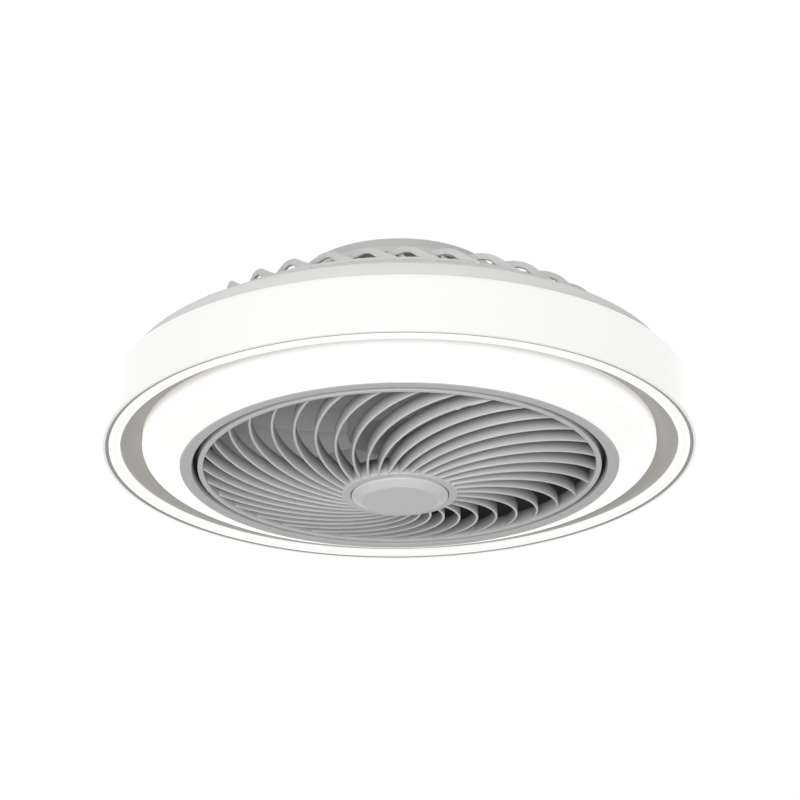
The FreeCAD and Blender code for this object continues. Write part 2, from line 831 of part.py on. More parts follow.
# Rotor: bell round the stator, magnets inside it, and the shaft through the bearings
rotor_low = spindle_base - rotor_floor_gap - rotor_floor
rotor_floor_top = rotor_low + rotor_floor


def rotor_bell():
    rotor_top = rotor_low + rotor_height
    bell = turned([
        (bearing_bore, rotor_low), (rotor_radius, rotor_low), (rotor_radius, rotor_top),
        (rotor_inner, rotor_top), (rotor_inner, rotor_floor_top), (bearing_bore, rotor_floor_top)])
    return drilled(bell, circle_points(rotor_screw_circle, rotor_screw_angles), hole_radius,
                   rotor_low, rotor_floor_top)


def rotor_magnets():
    inner = stator_radius + air_gap
    low = stator_middle - magnet_height / 2
    magnet = sector(inner, inner + magnet_thickness, low, low + magnet_height, 0, magnet_span)
    return Part.makeCompound(around(magnet, spread(magnet_count)))


impeller_low = rotor_low - impeller_floor
shaft_top = spindle_flange_base + clip_thickness * 2 + fit_gap
shaft_low = impeller_low - nut_height - shaft_tip
clip_low = spindle_flange_base + fit_gap


def motor_shaft():
    shaft = Part.makeCylinder(shaft_radius, shaft_top - shaft_low, Vector(0, 0, shaft_low))
    groove = ring(shaft_radius - clip_thickness, bearing_bore, clip_low, clip_low + clip_thickness)
    return shaft.cut(groove)


def shaft_clip():
    inner = shaft_radius - clip_thickness + fit_gap / 2
    clip = ring(inner, inner + clip_width, clip_low + fit_gap / 4, clip_low + clip_thickness - fit_gap / 4)
    slot = Part.makeBox(inner + clip_width, clip_opening, clip_thickness)
    return clip.cut(slot.translate(Vector(0, -clip_opening / 2, clip_low)))


# Impeller: hub cup under the rotor with twisted, cambered blades
def blade_section(radius, chord, pitch, turn):
    half = chord / 2
    lift = chord * blade_camber
    t = blade_thickness / 2
    upper = Part.Arc(Vector(0, -half, t), Vector(0, 0, lift + t), Vector(0, half, t)).toShape()
    lower = Part.Arc(Vector(0, half, -t), Vector(0, 0, lift - t), Vector(0, -half, -t)).toShape()
    wire = Part.Wire([upper, Part.makeLine(Vector(0, half, t), Vector(0, half, -t)), lower,
                      Part.makeLine(Vector(0, -half, -t), Vector(0, -half, t))])
    wire.rotate(centre, Vector(1, 0, 0), pitch)
    wire.translate(Vector(radius, 0, impeller_low + impeller_height / 2))
    return wire.rotate(centre, axis, turn)


def impeller():
    hub = turned([
        (bearing_bore, impeller_low), (impeller_radius, impeller_low, impeller_corner),
        (impeller_radius, impeller_low + impeller_height), (impeller_inner, impeller_low + impeller_height),
        (impeller_inner, rotor_low), (bearing_bore, rotor_low)])
    root = impeller_radius - blade_root_inset
    middle = (impeller_radius + blade_tip_radius) / 2
    tip = blade_tip_radius + blade_overreach
    blade = Part.makeLoft([
        blade_section(root, blade_root_chord, blade_root_pitch, 0),
        blade_section(middle, blade_mid_chord, blade_mid_pitch, blade_mid_sweep),
        blade_section(tip, blade_tip_chord, blade_tip_pitch, blade_tip_sweep)], True)
    reach = ring(impeller_radius - impeller_wall / 2, blade_tip_radius, impeller_low - impeller_height,
                 impeller_low + impeller_height * 2)
    blade = blade.common(reach)
    wheel = hub.fuse(around(blade, spread(blade_count))).removeSplitter()
    return drilled(wheel, circle_points(rotor_screw_circle, rotor_screw_angles), hole_radius,
                   impeller_low, rotor_low)


def impeller_screws():
    return screw_group(circle_points(rotor_screw_circle, rotor_screw_angles), impeller_low,
                       impeller_floor + rotor_floor - fit_gap, head_up=False)


def impeller_nut():
    corners = [polar(nut_radius, angle, impeller_low - nut_height) for angle in spread(nut_sides)]
    nut = Part.Face(Part.makePolygon(corners + corners[:1])).extrude(Vector(0, 0, nut_height))
    return drilled(nut, [centre], bearing_bore, impeller_low - nut_height, impeller_low)


# Light boards under the tray, with their chips
outer_board_inner = groove_lug_radius + slide_gap
inner_board_inner = post_circle + post_radius + board_post_gap


def led_board(inner, width):
    return ring(inner, inner + width, tray_base - led_board_thickness, tray_base)


def led_chips(inner, width, count):
    low = tray_base - led_board_thickness - led_height
    chip = Part.makeBox(led_size, led_size, led_height)
    chip.translate(Vector(inner + width / 2 - led_size / 2, -led_size / 2, low))
    return Part.makeCompound(around(chip, spread(count)))


# Supply cases on the tray: the light driver and the fan controller
supply_reach = math.sqrt((pan_foot_inner - slide_gap) ** 2 - (supply_length / 2) ** 2)
supply_circle = supply_reach - supply_width / 2


def supply_ears(side):
    reach = (supply_length + supply_ear) / 2
    spots = [Vector(supply_circle, -reach, 0), Vector(supply_circle, reach, 0)]
    return [FreeCAD.Rotation(axis, side).multVec(spot) for spot in spots]


def supply_case(side):
    box = Part.makeBox(supply_width, supply_length, supply_height)
    box.translate(Vector(supply_circle - supply_width / 2, -supply_length / 2, tray_top))
    rounded = [e for e in box.Edges if e.BoundBox.ZMax > tray_top + supply_height / 4]
    box = box.makeFillet(supply_corner, rounded)
    foot = Part.makeBox(supply_foot_width, supply_length + 2 * supply_ear, pan_sheet)
    foot.translate(Vector(supply_circle - supply_foot_width / 2, -supply_length / 2 - supply_ear, tray_top))
    case = box.fuse(foot).removeSplitter().rotate(centre, axis, side)
    return drilled(case, supply_ears(side), hole_radius, tray_top, tray_top + pan_sheet)


def supply_screws():
    points = supply_ears(0) + supply_ears(half_turn)
    return screw_group(points, tray_top + pan_sheet, pan_sheet + tray_sheet)


pieces = {
    "ceiling_bracket": ceiling_bracket(),
    "canopy": canopy(),
    "canopy_screws": canopy_screws(),
    "wire_grommet": wire_grommet(),
    "terminal_block": terminal_block(),
    "hub_screws": hub_screws(),
    "intake_cage": intake_cage(),
    "cage_screws": cage_screws(),
    "chassis_pan": chassis_pan(),
    "pan_screws": pan_screws(),
    "lamp_tray": lamp_tray(),
    "outer_shade": outer_shade(),
    "lip_ring": lip_ring(),
    "trim_ring": trim_ring(),
    "groove_ring": groove_ring(),
    "groove_screws": groove_screws(),
    "inner_shade": inner_shade(),
    "bezel_ring": bezel_ring(),
    "bezel_screws": bezel_screws(),
    "duct_seal": duct_seal(),
    "duct_shroud": duct_shroud(),
    "duct_screws": duct_screws(),
    "grille": grille(),
    "grille_cap": grille_cap(),
    "motor_housing": motor_housing(),
    "stator_spindle": stator_spindle(),
    "spindle_screws": spindle_screws(),
    "upper_bearing": bearing(spindle_flange_base - bearing_width),
    "lower_bearing": bearing(spindle_base),
    "stator_core": stator_core(),
    "stator_windings": stator_windings(),
    "stator_board": stator_board(),
    "rotor_bell": rotor_bell(),
    "rotor_magnets": rotor_magnets(),
    "motor_shaft": motor_shaft(),
    "shaft_clip": shaft_clip(),
    "impeller": impeller(),
    "impeller_screws": impeller_screws(),
    "impeller_nut": impeller_nut(),
    "led_board_outer": led_board(outer_board_inner, led_board_width),
    "led_chips_outer": led_chips(outer_board_inner, led_board_width, led_count_outer),
    "led_board_inner": led_board(inner_board_inner, led_board_inner_width),
    "led_chips_inner": led_chips(inner_board_inner, led_board_inner_width, led_count_inner),
    "led_driver": supply_case(0),
    "fan_controller": supply_case(half_turn),
    "supply_screws": supply_screws(),
}

os.makedirs("parts", exist_ok=True)
for name, shape in pieces.items():
    shape.exportStep(f"parts/{name}.step")
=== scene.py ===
import json
import math

import bmesh
import bpy
from mathutils import Matrix, Vector


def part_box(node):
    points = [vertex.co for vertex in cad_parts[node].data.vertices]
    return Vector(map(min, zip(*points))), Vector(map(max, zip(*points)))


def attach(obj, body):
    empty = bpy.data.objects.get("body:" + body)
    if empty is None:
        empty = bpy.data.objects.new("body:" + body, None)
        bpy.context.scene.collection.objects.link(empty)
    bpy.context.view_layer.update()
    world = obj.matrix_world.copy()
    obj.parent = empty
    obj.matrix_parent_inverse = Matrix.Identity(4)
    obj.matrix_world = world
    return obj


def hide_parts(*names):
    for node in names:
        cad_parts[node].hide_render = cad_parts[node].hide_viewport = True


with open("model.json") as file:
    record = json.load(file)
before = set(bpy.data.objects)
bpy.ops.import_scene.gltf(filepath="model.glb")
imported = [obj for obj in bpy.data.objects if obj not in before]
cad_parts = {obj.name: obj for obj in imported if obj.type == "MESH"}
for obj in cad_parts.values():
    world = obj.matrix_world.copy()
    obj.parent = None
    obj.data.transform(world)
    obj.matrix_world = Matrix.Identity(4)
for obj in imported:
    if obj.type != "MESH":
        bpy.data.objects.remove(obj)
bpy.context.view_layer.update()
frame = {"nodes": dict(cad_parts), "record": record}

# Ceiling bracket: a strip of zinc plated steel with turned-down ends, punched and folded in a
# press. It is screwed to the ceiling first and carries everything else.
bodies = frame["record"]["behaviour"]["bodies"]
body_of_node = {node: body for body, nodes in bodies.items() for node in nodes}
sharp_turn = math.radians(32)
weld_distance = 1e-6


def fitted_piece(shape, node, material):
    """Makes a mesh the piece that stands for the node, on the node's own body, and hides the node."""
    for edge in shape.edges:
        edge.smooth = edge.calc_face_angle(0.0) < sharp_turn
    for face in shape.faces:
        face.smooth = True
    mesh = bpy.data.meshes.new(f"{node}_finished")
    shape.to_mesh(mesh)
    shape.free()
    mesh.materials.append(material)
    piece = bpy.data.objects.new(mesh.name, mesh)
    bpy.context.scene.collection.objects.link(piece)
    even = piece.modifiers.new("even_shading", "WEIGHTED_NORMAL")
    even.keep_sharp = True
    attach(piece, body_of_node[node])
    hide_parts(node)


def dressed(node, material):
    """Gives the node's own shape, welded and softly shaded, a finish."""
    shape = bmesh.new()
    shape.from_mesh(frame["nodes"][node].data)
    bmesh.ops.remove_doubles(shape, verts=shape.verts, dist=weld_distance)
    fitted_piece(shape, node, material)


def finish(name, roughness, metallic=0.0, specular=0.5):
    """A new material: gives it with its node tree, its shader and its object coordinates."""
    material = bpy.data.materials.new(name)
    material.use_nodes = True
    tree = material.node_tree
    shader = tree.nodes["Principled BSDF"]
    shader.inputs["Roughness"].default_value = roughness
    shader.inputs["Metallic"].default_value = metallic
    shader.inputs["Specular IOR Level"].default_value = specular
    coordinates = tree.nodes.new("ShaderNodeTexCoord").outputs["Object"]
    return material, tree, shader, coordinates


def node_group(name, inputs, outputs):
    """An empty shader node group: gives it with its input and output nodes."""
    group = bpy.data.node_groups.new(name, "ShaderNodeTree")
    for label, kind in inputs:
        group.interface.new_socket(label, in_out="INPUT", socket_type=f"NodeSocket{kind}")
    for label, kind in outputs:
        group.interface.new_socket(label, in_out="OUTPUT", socket_type=f"NodeSocket{kind}")
    start = group.nodes.new("NodeGroupInput")
    end = group.nodes.new("NodeGroupOutput")
    return group, start, end


def skin_group():
    """Cloudy colour, uneven gloss and fine relief, as on sprayed paint and moulded plastic."""
    group, start, end = node_group("skin", [
        ("Coordinates", "Vector"), ("Colour", "Color"), ("Deep Colour", "Color"), ("Cloud Scale", "Float"),
        ("Grain Scale", "Float"), ("Roughness", "Float"), ("Gloss Spread", "Float"), ("Relief", "Float"),
    ], [("Colour", "Color"), ("Roughness", "Float"), ("Normal", "Vector")])
    nodes = group.nodes
    link = group.links.new
    cloud = nodes.new("ShaderNodeTexNoise")
    cloud.inputs["Detail"].default_value = 4.0
    link(start.outputs["Coordinates"], cloud.inputs["Vector"])
    link(start.outputs["Cloud Scale"], cloud.inputs["Scale"])
    grain = nodes.new("ShaderNodeTexNoise")
    grain.inputs["Detail"].default_value = 2.0
    link(start.outputs["Coordinates"], grain.inputs["Vector"])
    link(start.outputs["Grain Scale"], grain.inputs["Scale"])
    colour = nodes.new("ShaderNodeMix")
    colour.data_type = "RGBA"
    link(cloud.outputs["Fac"], colour.inputs["Factor"])
    link(start.outputs["Colour"], colour.inputs["A"])
    link(start.outputs["Deep Colour"], colour.inputs["B"])
    link(colour.outputs["Result"], end.inputs["Colour"])
    gloss = nodes.new("ShaderNodeMath")
    gloss.operation = "MULTIPLY_ADD"
    link(grain.outputs["Fac"], gloss.inputs[0])
    link(start.outputs["Gloss Spread"], gloss.inputs[1])
    link(start.outputs["Roughness"], gloss.inputs[2])
    link(gloss.outputs["Value"], end.inputs["Roughness"])
    relief = nodes.new("ShaderNodeBump")
    relief.inputs["Distance"].default_value = 0.0002
    link(start.outputs["Relief"], relief.inputs["Strength"])
    link(grain.outputs["Fac"], relief.inputs["Height"])
    link(relief.outputs["Normal"], end.inputs["Normal"])
    return group


skin = skin_group()


def skin_finish(name, colour, deep_colour, cloud=9.0, grain=900.0, roughness=0.4, spread=0.12,
                relief=0.12, metallic=0.0, specular=0.5):
    """A finish made with the skin group; colours are linear."""
    material, tree, shader, coordinates = finish(name, roughness, metallic, specular)
    surface = tree.nodes.new("ShaderNodeGroup")
    surface.node_tree = skin
    tree.links.new(coordinates, surface.inputs["Coordinates"])
    surface.inputs["Colour"].default_value = (*colour, 1.0)
    surface.inputs["Deep Colour"].default_value = (*deep_colour, 1.0)
    surface.inputs["Cloud Scale"].default_value = cloud
    surface.inputs["Grain Scale"].default_value = grain
    surface.inputs["Roughness"].default_value = roughness - spread / 2
    surface.inputs["Gloss Spread"].default_value = spread
    surface.inputs["Relief"].default_value = relief
    tree.links.new(surface.outputs["Colour"], shader.inputs["Base Color"])
    tree.links.new(surface.outputs["Roughness"], shader.inputs["Roughness"])
    tree.links.new(surface.outputs["Normal"], shader.inputs["Normal"])
    return material


zinc = skin_finish("zinc_plate", (0.62, 0.63, 0.65), (0.50, 0.52, 0.55), cloud=120.0, grain=1500.0,
                   roughness=0.34, spread=0.2, relief=0.15, metallic=1.0)
dressed("ceiling_bracket", zinc)

# Canopy: a shallow cup spun from sheet steel and sprayed light grey, which hides the bracket.
# Two screws through its wall hold it, and its floor carries the cage and the motor.
round_steps = 192
corner_steps = 5
fan_axis = (0, 0, 1)
whole_turn = 2 * math.pi


def reach_of(node):
    """A round node's largest radius, lowest height and highest height."""
    low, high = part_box(node)
    return high.x, low.z, high.z


def rounded_wire(outline):
    """A closed wire through corners of (radius, height, rounding), open where it lies on the axis."""
    shape = bmesh.new()
    corners = [shape.verts.new((radius, 0, height)) for radius, height, rounding in outline]
    for here, following in zip(corners, corners[1:] + corners[:1]):
        if here.co.x or following.co.x:
            shape.edges.new((here, following))
    for corner, (radius, height, rounding) in zip(corners, outline):
        if rounding:
            back, ahead = [edge.other_vert(corner).co - corner.co for edge in corner.link_edges]
            bmesh.ops.bevel(shape, geom=[corner], offset=rounding / math.tan(back.angle(ahead) / 2),
                            offset_type="OFFSET", segments=corner_steps, profile=0.5,
                            affect="VERTICES", material=-1)
    return shape


def turned(outline):
    """A closed outline of (radius, height, corner rounding), spun about the fan's axis."""
    shape = rounded_wire(outline)
    bmesh.ops.spin(shape, geom=shape.verts[:] + shape.edges[:], cent=(0, 0, 0), axis=fan_axis,
                   angle=whole_turn, steps=round_steps, use_merge=True)
    bmesh.ops.remove_doubles(shape, verts=shape.verts, dist=weld_distance)
    bmesh.ops.recalc_face_normals(shape, faces=shape.faces)
    return shape


pale_paint = skin_finish("pale_paint", (0.55, 0.55, 0.54), (0.52, 0.52, 0.51), cloud=14.0, grain=700.0,
                         roughness=0.42, relief=0.1)
canopy_radius, canopy_base, canopy_top = reach_of("canopy")
canopy_inner = canopy_radius - 0.0016
canopy_floor = canopy_base + 0.002
canopy_corner = 0.002
canopy_inner_corner = 0.0012
canopy_edge = 0.0004
grommet_hole = 0.0071
fitted_piece(turned([
    (grommet_hole, canopy_base, 0), (canopy_radius, canopy_base, canopy_corner),
    (canopy_radius, canopy_top, canopy_edge), (canopy_inner, canopy_top, canopy_edge),
    (canopy_inner, canopy_floor, canopy_inner_corner), (grommet_hole, canopy_floor, 0),
]), "canopy", pale_paint)
dressed("canopy_screws", zinc)
dressed("hub_screws", zinc)

# Wiring inside the canopy: a rubber grommet in the floor for the supply wires, and a moulded
# three way terminal block beside it.
rubber = skin_finish("black_rubber", (0.018, 0.018, 0.018), (0.028, 0.027, 0.026), cloud=40.0,
                     grain=500.0, roughness=0.75, relief=0.3, specular=0.3)
dressed("wire_grommet", rubber)
case_plastic = skin_finish("case_plastic", (0.80, 0.80, 0.78), (0.74, 0.74, 0.72), cloud=25.0,
                           grain=800.0, roughness=0.45)
dressed("terminal_block", case_plastic)

# Intake cage: one light grey moulding with a neck plate under the canopy, a foot ring on the pan
# and swept ribs between them that arch up before the foot. Air is drawn in between the ribs.
rim_steps = 3


def ring_outline(inner, outer, low, high, low_round=0, high_round=0):
    """The four corners of a ring's section, with one rounding below and one above."""
    return [(inner, low, low_round), (outer, low, low_round), (outer, high, high_round),
            (inner, high, high_round)]


def plate(outline, thickness, edge_radius, cuts):
    """A plate of the outline in a plane through the axis, with rounded rims, cut across at even radii."""
    shape = rounded_wire(outline)
    side = bmesh.ops.contextual_create(shape, geom=shape.edges[:])["faces"]
    bmesh.ops.translate(shape, verts=shape.verts, vec=(0, -thickness / 2, 0))
    copied = bmesh.ops.extrude_face_region(shape, geom=side)["geom"]
    bmesh.ops.translate(shape, verts=[item for item in copied if isinstance(item, bmesh.types.BMVert)],
                        vec=(0, thickness, 0))
    bmesh.ops.recalc_face_normals(shape, faces=shape.faces)
    rims = [edge for edge in shape.edges
            if abs(edge.verts[0].co.y - edge.verts[1].co.y) < weld_distance]
    bmesh.ops.bevel(shape, geom=rims, offset=edge_radius, offset_type="OFFSET", segments=rim_steps,
                    profile=0.5, affect="EDGES", material=-1, clamp_overlap=True)
    reach = [vertex.co.x for vertex in shape.verts]
    for cut in range(1, cuts):
        at = min(reach) + (max(reach) - min(reach)) * cut / cuts
        bmesh.ops.bisect_plane(shape, geom=shape.verts[:] + shape.edges[:] + shape.faces[:],
                               dist=weld_distance, plane_co=(at, 0, 0), plane_no=(1, 0, 0))
    return shape


def swept(shape, path):
    """Bends a plate along the plan arc through three (radius, turn) points; radii and heights stay."""
    start, middle, end = [Vector((radius * math.cos(turn), radius * math.sin(turn)))
                          for radius, turn in path]
    chords = Matrix((middle - start, end - start))
    squares = Vector((middle.length_squared - start.length_squared,
                      end.length_squared - start.length_squared))
    centre = chords.inverted() @ (squares / 2)
    bend_squared = (start - centre).length_squared
    heading = math.atan2(centre.y, centre.x)
    hand = 1 if math.sin(path[0][1] - heading) > 0 else -1
    for vertex in shape.verts:
        radius, offset, height = vertex.co
        lean = math.acos((radius ** 2 + centre.length_squared - bend_squared)
                         / (2 * radius * centre.length))
        turn = heading + hand * lean
        point = Vector((math.cos(turn), math.sin(turn))) * radius
        place = point + (point - centre).normalized() * offset
        vertex.co = (place.x, place.y, height)
    bmesh.ops.recalc_face_normals(shape, faces=shape.faces)
    return shape


def ringed(shape, count):
    """Repeats a shape evenly about the fan's axis."""
    bmesh.ops.spin(shape, geom=shape.verts[:] + shape.edges[:] + shape.faces[:], cent=(0, 0, 0),
                   axis=fan_axis, angle=whole_turn * (count - 1) / count, steps=count - 1,
                   use_duplicate=True)
    return shape


def joined(whole, *others):
    """Puts closed shapes into one mesh."""
    for shape in others:
        carrier = bpy.data.meshes.new("carrier")
        shape.to_mesh(carrier)
        whole.from_mesh(carrier)
        shape.free()
        bpy.data.meshes.remove(carrier)
    return whole


cage_plastic = skin_finish("cage_plastic", (0.62, 0.62, 0.61), (0.59, 0.59, 0.58), cloud=12.0,
                           grain=850.0, roughness=0.4)
cage_radius, cage_base, cage_top = reach_of("intake_cage")
plate_hole = 0.034
plate_base = cage_top - 0.0025
neck_radius = 0.104
neck_inner = 0.1015
neck_base = cage_top - 0.0051
neck_plate = turned([
    (plate_hole, plate_base, 0), (neck_inner, plate_base, 0), (neck_inner, neck_base, 0.0004),
    (neck_radius, neck_base, 0.0006), (neck_radius, cage_top, 0.0008), (plate_hole, cage_top, 0)])
foot_inner = 0.187
foot_top = cage_base + 0.003
foot_ring = turned(ring_outline(foot_inner, cage_radius, cage_base, foot_top, high_round=0.0008))
rib_count = 36
rib_thickness = 0.0028
rib_edge = 0.0008
rib_cuts = 30
rib_foot = 0.1954
rib_foot_inner = 0.1915
rib_path = [(neck_inner, 0.0), (0.14975, math.radians(16)), (0.1981, math.radians(42))]
rib_crest = [
    (neck_inner, plate_base, 0), (0.118, -0.036, 0.015), (0.167, -0.0606, 0.012), (0.186, -0.0566, 0.008)]
rib_seat = [(rib_foot, foot_top, 0), (rib_foot, cage_base, 0), (rib_foot_inner, cage_base, 0)]
rib_arch = [(0.1856, -0.0628, 0.004), (0.175, -0.0648, 0.003), (0.169, -0.0745, 0.004)]
rib_underside = [(0.157, -0.072, 0.008), (0.118, -0.0445, 0.015), (neck_inner, neck_base, 0)]
rib = swept(plate(rib_crest + rib_seat + rib_arch + rib_underside, rib_thickness, rib_edge, rib_cuts),
            rib_path)
fitted_piece(joined(neck_plate, foot_ring, ringed(rib, rib_count)), "intake_cage", cage_plastic)
dressed("cage_screws", zinc)

# Motor: a black drawn steel cup under the cage plate, with a die cast spindle, the wound stator
# and, around it, the turning bell with its magnets.
motor_paint = skin_finish("motor_paint", (0.035, 0.035, 0.036), (0.05, 0.05, 0.05), cloud=30.0,
                          grain=600.0, roughness=0.45, relief=0.2)
dressed("motor_housing", motor_paint)
dressed("rotor_bell", motor_paint)
cast_aluminium = skin_finish("cast_aluminium", (0.55, 0.55, 0.57), (0.44, 0.44, 0.46), cloud=90.0,
                             grain=700.0, roughness=0.5, relief=0.3, metallic=1.0)
dressed("stator_spindle", cast_aluminium)
ground_steel = skin_finish("ground_steel", (0.60, 0.60, 0.61), (0.52, 0.52, 0.53), cloud=200.0,
                           grain=2500.0, roughness=0.22, metallic=1.0)
for node in ("upper_bearing", "lower_bearing", "motor_shaft"):
    dressed(node, ground_steel)
core_steel = skin_finish("core_steel", (0.20, 0.20, 0.21), (0.28, 0.28, 0.29), cloud=150.0,
                         grain=1800.0, roughness=0.5, relief=0.4, metallic=1.0)
dressed("stator_core", core_steel)
copper_wire = skin_finish("copper_wire", (0.55, 0.21, 0.08), (0.40, 0.13, 0.05), cloud=120.0,
                          grain=1400.0, roughness=0.3, relief=0.6, metallic=1.0)
dressed("stator_windings", copper_wire)
green_board = skin_finish("green_board", (0.02, 0.12, 0.05), (0.015, 0.09, 0.035), cloud=60.0,
                          grain=900.0, roughness=0.35)
dressed("stator_board", green_board)
ferrite = skin_finish("ferrite", (0.06, 0.06, 0.065), (0.09, 0.09, 0.09), cloud=150.0, grain=1200.0,
                      roughness=0.6, relief=0.3)
dressed("rotor_magnets", ferrite)
for node in ("spindle_screws", "shaft_clip", "impeller_screws", "impeller_nut"):
    dressed(node, zinc)

# Impeller: a grey moulding with broad twisted blades on a hub cup, screwed to the rotor.
# Its blades show between the fins of the grille.
impeller_plastic = skin_finish("impeller_plastic", (0.64, 0.64, 0.64), (0.61, 0.61, 0.61), cloud=10.0,
                               grain=900.0, roughness=0.42)
dressed("impeller", impeller_plastic)

# Duct: a dark moulded cylinder with a flared mouth that guides the air past the blades, with a
# black rubber seal between it and the bezel below.
duct_plastic = skin_finish("duct_plastic", (0.05, 0.05, 0.05), (0.04, 0.04, 0.04), cloud=12.0,
                           grain=900.0, roughness=0.55)
dressed("duct_shroud", duct_plastic)
dressed("duct_screws", zinc)
seal_radius, seal_base, seal_top = reach_of("duct_seal")
seal_inner = seal_radius - 0.002
fitted_piece(turned(ring_outline(seal_inner, seal_radius, seal_base, seal_top)), "duct_seal", rubber)

# Chassis pan and lamp tray: spun and pressed sheet, sprayed light grey. The pan is screwed under
# the cage, and the tray under the pan carries the lamp.
white_paint = skin_finish("white_paint", (0.70, 0.70, 0.69), (0.67, 0.67, 0.66), cloud=10.0, grain=700.0,
                          roughness=0.4, relief=0.1)
pan_radius, pan_base, pan_top = reach_of("chassis_pan")
pan_sheet = 0.0015
pan_cone_base = pan_top - 0.021
pan_flange = 0.2195
pan_corner = 0.002
fitted_piece(turned([
    (foot_inner, pan_top, 0), (cage_radius, pan_top, pan_corner), (pan_radius, pan_cone_base, pan_corner),
    (pan_radius, pan_base, 0.0005), (pan_flange, pan_base, 0), (pan_flange, pan_base + pan_sheet, 0),
    (pan_radius - pan_sheet, pan_base + pan_sheet, 0),
    (pan_radius - pan_sheet, pan_cone_base - pan_sheet, 0.001),
    (cage_radius - pan_sheet, pan_top - pan_sheet, 0), (foot_inner, pan_top - pan_sheet, 0),
]), "chassis_pan", white_paint)
dressed("lamp_tray", white_paint)
for node in ("pan_screws", "groove_screws", "bezel_screws", "supply_screws"):
    dressed(node, zinc)

# Supplies on the tray: the light driver and the fan controller in white moulded cases, each with
# a screwed foot at both ends.
dressed("led_driver", case_plastic)
dressed("fan_controller", case_plastic)

# Light boards: white coated aluminium rings with small light chips under yellow phosphor, glued
# under the tray inside the shades.
white_board = skin_finish("white_board", (0.80, 0.80, 0.78), (0.76, 0.76, 0.74), cloud=40.0,
                          grain=900.0, roughness=0.45)
phosphor = skin_finish("phosphor", (0.85, 0.62, 0.12), (0.80, 0.56, 0.09), cloud=300.0, grain=2000.0,
                       roughness=0.3)
for node in ("led_board_outer", "led_board_inner"):
    dressed(node, white_board)
for node in ("led_chips_outer", "led_chips_inner"):
    dressed(node, phosphor)

# Groove ring: a warm grey sheet ring whose cone makes the shaded channel between the shades, with
# a wall up to the tray.
groove_paint = skin_finish("groove_paint", (0.54, 0.52, 0.485), (0.51, 0.49, 0.455), cloud=10.0,
                           grain=800.0, roughness=0.5)
groove_radius, groove_base, groove_top = reach_of("groove_ring")
groove_sheet = 0.0015
groove_ledge = groove_radius - 0.0017
groove_wall = 0.2174
groove_crest = groove_base + 0.0073
groove_cone_rise = 0.0009
fitted_piece(turned([
    (groove_radius, groove_base, 0), (groove_ledge, groove_base, 0), (groove_wall, groove_crest, 0.001),
    (groove_wall, groove_top, 0), (groove_wall + groove_sheet, groove_top, 0),
    (groove_wall + groove_sheet, groove_crest + groove_cone_rise, 0),
    (groove_ledge, groove_base + groove_sheet, 0), (groove_radius, groove_base + groove_sheet, 0),
]), "groove_ring", groove_paint)

# Shades: opal acrylic drawn in one piece, lit from inside, so that the whole skin glows evenly.
# The outer one hangs on the tray, the inner one rests on the bezel, and the lip closes the edge.
opal_white = (0.42, 0.42, 0.414)
# Darker opal colours for painted shade: a faint one near the seats, a deeper painted shadow in the groove.
opal_edge_shade = (0.40, 0.40, 0.392)
opal_shadow = (0.29, 0.28, 0.267)
cloud_tone = 0.98


def glowing_finish(name, colour, painted_shade_colour, glow, plain_below, painted_shade_above):
    """Milky plastic that gives back its own light, turning to a darker painted shade colour above a given
    height, where it is clamped and less lit.
    """
    material, tree, shader, coordinates = finish(name, roughness=0.25)
    cloud = tree.nodes.new("ShaderNodeTexNoise")
    cloud.inputs["Scale"].default_value = 6.0
    tree.links.new(coordinates, cloud.inputs["Vector"])
    tint = tree.nodes.new("ShaderNodeMix")
    tint.data_type = "RGBA"
    tint.inputs["A"].default_value = (*colour, 1.0)
    tint.inputs["B"].default_value = (*(cloud_tone * channel for channel in colour), 1.0)
    tree.links.new(cloud.outputs["Fac"], tint.inputs["Factor"])
    place = tree.nodes.new("ShaderNodeSeparateXYZ")
    tree.links.new(coordinates, place.inputs["Vector"])
    height = tree.nodes.new("ShaderNodeMapRange")
    height.interpolation_type = "SMOOTHSTEP"
    height.inputs["From Min"].default_value = plain_below
    height.inputs["From Max"].default_value = painted_shade_above
    tree.links.new(place.outputs["Z"], height.inputs["Value"])
    # Painted shade: above the given height the colour and the glow turn darker.
    painted_shade_mix = tree.nodes.new("ShaderNodeMix")
    painted_shade_mix.data_type = "RGBA"
    painted_shade_mix.inputs["B"].default_value = (*painted_shade_colour, 1.0)
    tree.links.new(height.outputs["Result"], painted_shade_mix.inputs["Factor"])
    tree.links.new(tint.outputs["Result"], painted_shade_mix.inputs["A"])
    tree.links.new(painted_shade_mix.outputs["Result"], shader.inputs["Base Color"])
    tree.links.new(painted_shade_mix.outputs["Result"], shader.inputs["Emission Color"])
    shader.inputs["Emission Strength"].default_value = glow
    return material


shade_radius, shade_base, shade_top = reach_of("outer_shade")
shade_wall = 0.0023
shade_opening = 0.236
# Painted shade: the top 6 mm of the skirt turns to the darker edge colour.
opal_skirt = glowing_finish("opal_skirt", opal_white, opal_edge_shade, glow=1.29,
                            plain_below=shade_top - 0.006, painted_shade_above=shade_top)
fitted_piece(turned([
    (shade_radius - shade_wall, shade_base, 0), (shade_radius, shade_base, 0.0008),
    (shade_radius, shade_top, 0.004), (shade_opening, shade_top, 0),
    (shade_opening, shade_top - shade_wall, 0), (shade_radius - shade_wall, shade_top - shade_wall, 0),
]), "outer_shade", opal_skirt)
lip_radius, lip_low, lip_top = reach_of("lip_ring")
lip_ledge = lip_top - 0.0018
lip_base = lip_top - 0.0036
lip_edge = lip_radius - 0.003
lip_inner = 0.2352
lip_crown = (0.2399, lip_low - 0.0008, 0.006)
